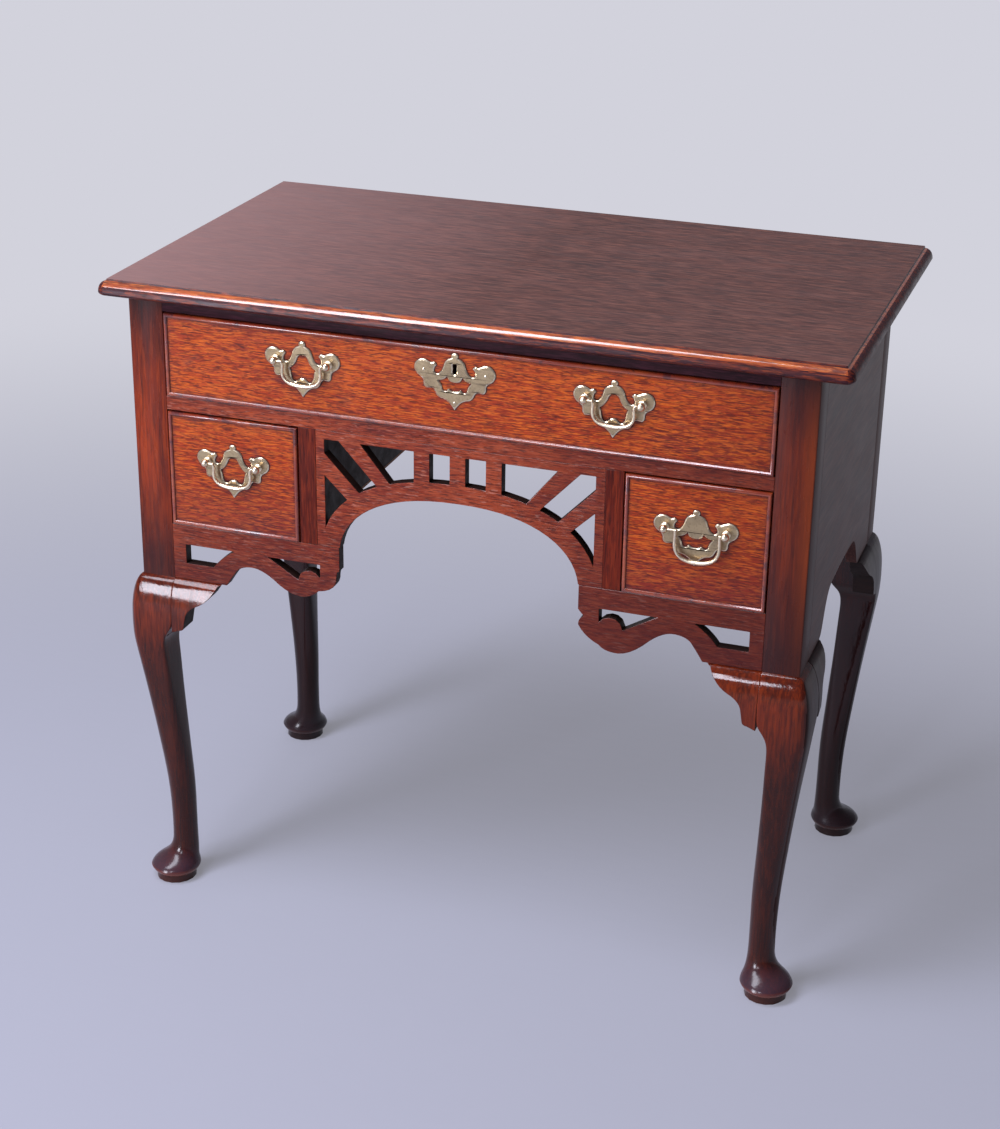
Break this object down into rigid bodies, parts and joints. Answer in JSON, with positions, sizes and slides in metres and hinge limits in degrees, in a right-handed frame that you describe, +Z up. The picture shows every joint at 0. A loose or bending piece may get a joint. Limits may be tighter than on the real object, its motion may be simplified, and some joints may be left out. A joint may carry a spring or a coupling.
{
  "type": "lowboy",
  "caption": "Low oak chest on cabriole legs, with a long drawer over small drawers that flank a pierced, arched centre; brass bail handles and a thumb-moulded top.",
  "frame": {"origin": "on the floor, under the middle of the whole piece in width and depth", "axes": "+X to the right along the front, +Y from the front to the back, +Z up; the front faces -Y"},
  "size_m": [0.778, 0.4494, 0.702],
  "materials": {
    "top_oak": "waxed, dark",
    "case_oak": "waxed",
    "side_oak": "waxed, dark",
    "leg_oak": "polished by wear",
    "drawer_oak": "waxed",
    "inner_oak": "bare, planed",
    "brass": "aged, dull",
    "iron": "filed, dull"
  },
  "bodies": {
    "case": {"back_board": "inner_oak", "drawer_rail": "case_oak", "fret_panel": "case_oak", "left_apron": "case_oak", "left_front_bracket": "leg_oak", "left_front_leg": "leg_oak", "left_front_side_bracket": "leg_oak", "left_inner_runner": "inner_oak", "left_kicker": "inner_oak", "left_long_runner": "inner_oak", "left_muntin": "case_oak", "left_outer_runner": "inner_oak", "left_partition": "inner_oak", "left_rear_leg": "leg_oak", "left_rear_side_bracket": "leg_oak", "left_side": "side_oak", "right_apron": "case_oak", "right_front_bracket": "leg_oak", "right_front_leg": "leg_oak", "right_front_side_bracket": "leg_oak", "right_inner_runner": "inner_oak", "right_kicker": "inner_oak", "right_long_runner": "inner_oak", "right_muntin": "case_oak", "right_outer_runner": "inner_oak", "right_partition": "inner_oak", "right_rear_leg": "leg_oak", "right_rear_side_bracket": "leg_oak", "right_side": "side_oak", "top": "top_oak", "top_rail": "case_oak"},
    "long_drawer": {"escutcheon": "brass", "lock_case": "iron", "long_drawer_back": "inner_oak", "long_drawer_bottom": "inner_oak", "long_drawer_cock_bead": "drawer_oak", "long_drawer_front": "drawer_oak", "long_drawer_left_backplate": "brass", "long_drawer_left_side": "inner_oak", "long_drawer_right_backplate": "brass", "long_drawer_right_side": "inner_oak"},
    "left_drawer": {"left_drawer_back": "inner_oak", "left_drawer_backplate": "brass", "left_drawer_bottom": "inner_oak", "left_drawer_cock_bead": "drawer_oak", "left_drawer_front": "drawer_oak", "left_drawer_left_side": "inner_oak", "left_drawer_right_side": "inner_oak"},
    "right_drawer": {"right_drawer_back": "inner_oak", "right_drawer_backplate": "brass", "right_drawer_bottom": "inner_oak", "right_drawer_cock_bead": "drawer_oak", "right_drawer_front": "drawer_oak", "right_drawer_left_side": "inner_oak", "right_drawer_right_side": "inner_oak"},
    "left_drawer_bail": {"left_drawer_bail": "brass"},
    "lock_bolt": {"lock_bolt": "iron"},
    "long_drawer_left_bail": {"long_drawer_left_bail": "brass"},
    "long_drawer_right_bail": {"long_drawer_right_bail": "brass"},
    "right_drawer_bail": {"right_drawer_bail": "brass"}
  },
  "joints": [
    {"name": "long_drawer_slide", "type": "slide", "parent": "case", "child": "long_drawer", "axis": [0, -1, 0], "range_m": [0, 0.28]},
    {"name": "left_drawer_slide", "type": "slide", "parent": "case", "child": "left_drawer", "axis": [0, -1, 0], "range_m": [0, 0.28]},
    {"name": "right_drawer_slide", "type": "slide", "parent": "case", "child": "right_drawer", "axis": [0, -1, 0], "range_m": [0, 0.28]},
    {"name": "long_drawer_left_bail_hinge", "type": "hinge", "parent": "long_drawer", "child": "long_drawer_left_bail", "pos_m": [-0.165, -0.2183, 0.6394], "axis": [-1, 0, 0], "range_deg": [0, 150]},
    {"name": "long_drawer_right_bail_hinge", "type": "hinge", "parent": "long_drawer", "child": "long_drawer_right_bail", "pos_m": [0.159, -0.2183, 0.6394], "axis": [-1, 0, 0], "range_deg": [0, 150]},
    {"name": "left_drawer_bail_hinge", "type": "hinge", "parent": "left_drawer", "child": "left_drawer_bail", "pos_m": [-0.2455, -0.2183, 0.5186], "axis": [-1, 0, 0], "range_deg": [0, 150]},
    {"name": "right_drawer_bail_hinge", "type": "hinge", "parent": "right_drawer", "child": "right_drawer_bail", "pos_m": [0.2455, -0.2183, 0.5186], "axis": [-1, 0, 0], "range_deg": [0, 150]},
    {"name": "lock_bolt_slide", "type": "slide", "parent": "long_drawer", "child": "lock_bolt", "axis": [0, 0, 1], "range_m": [0, 0.006]}
  ]
}
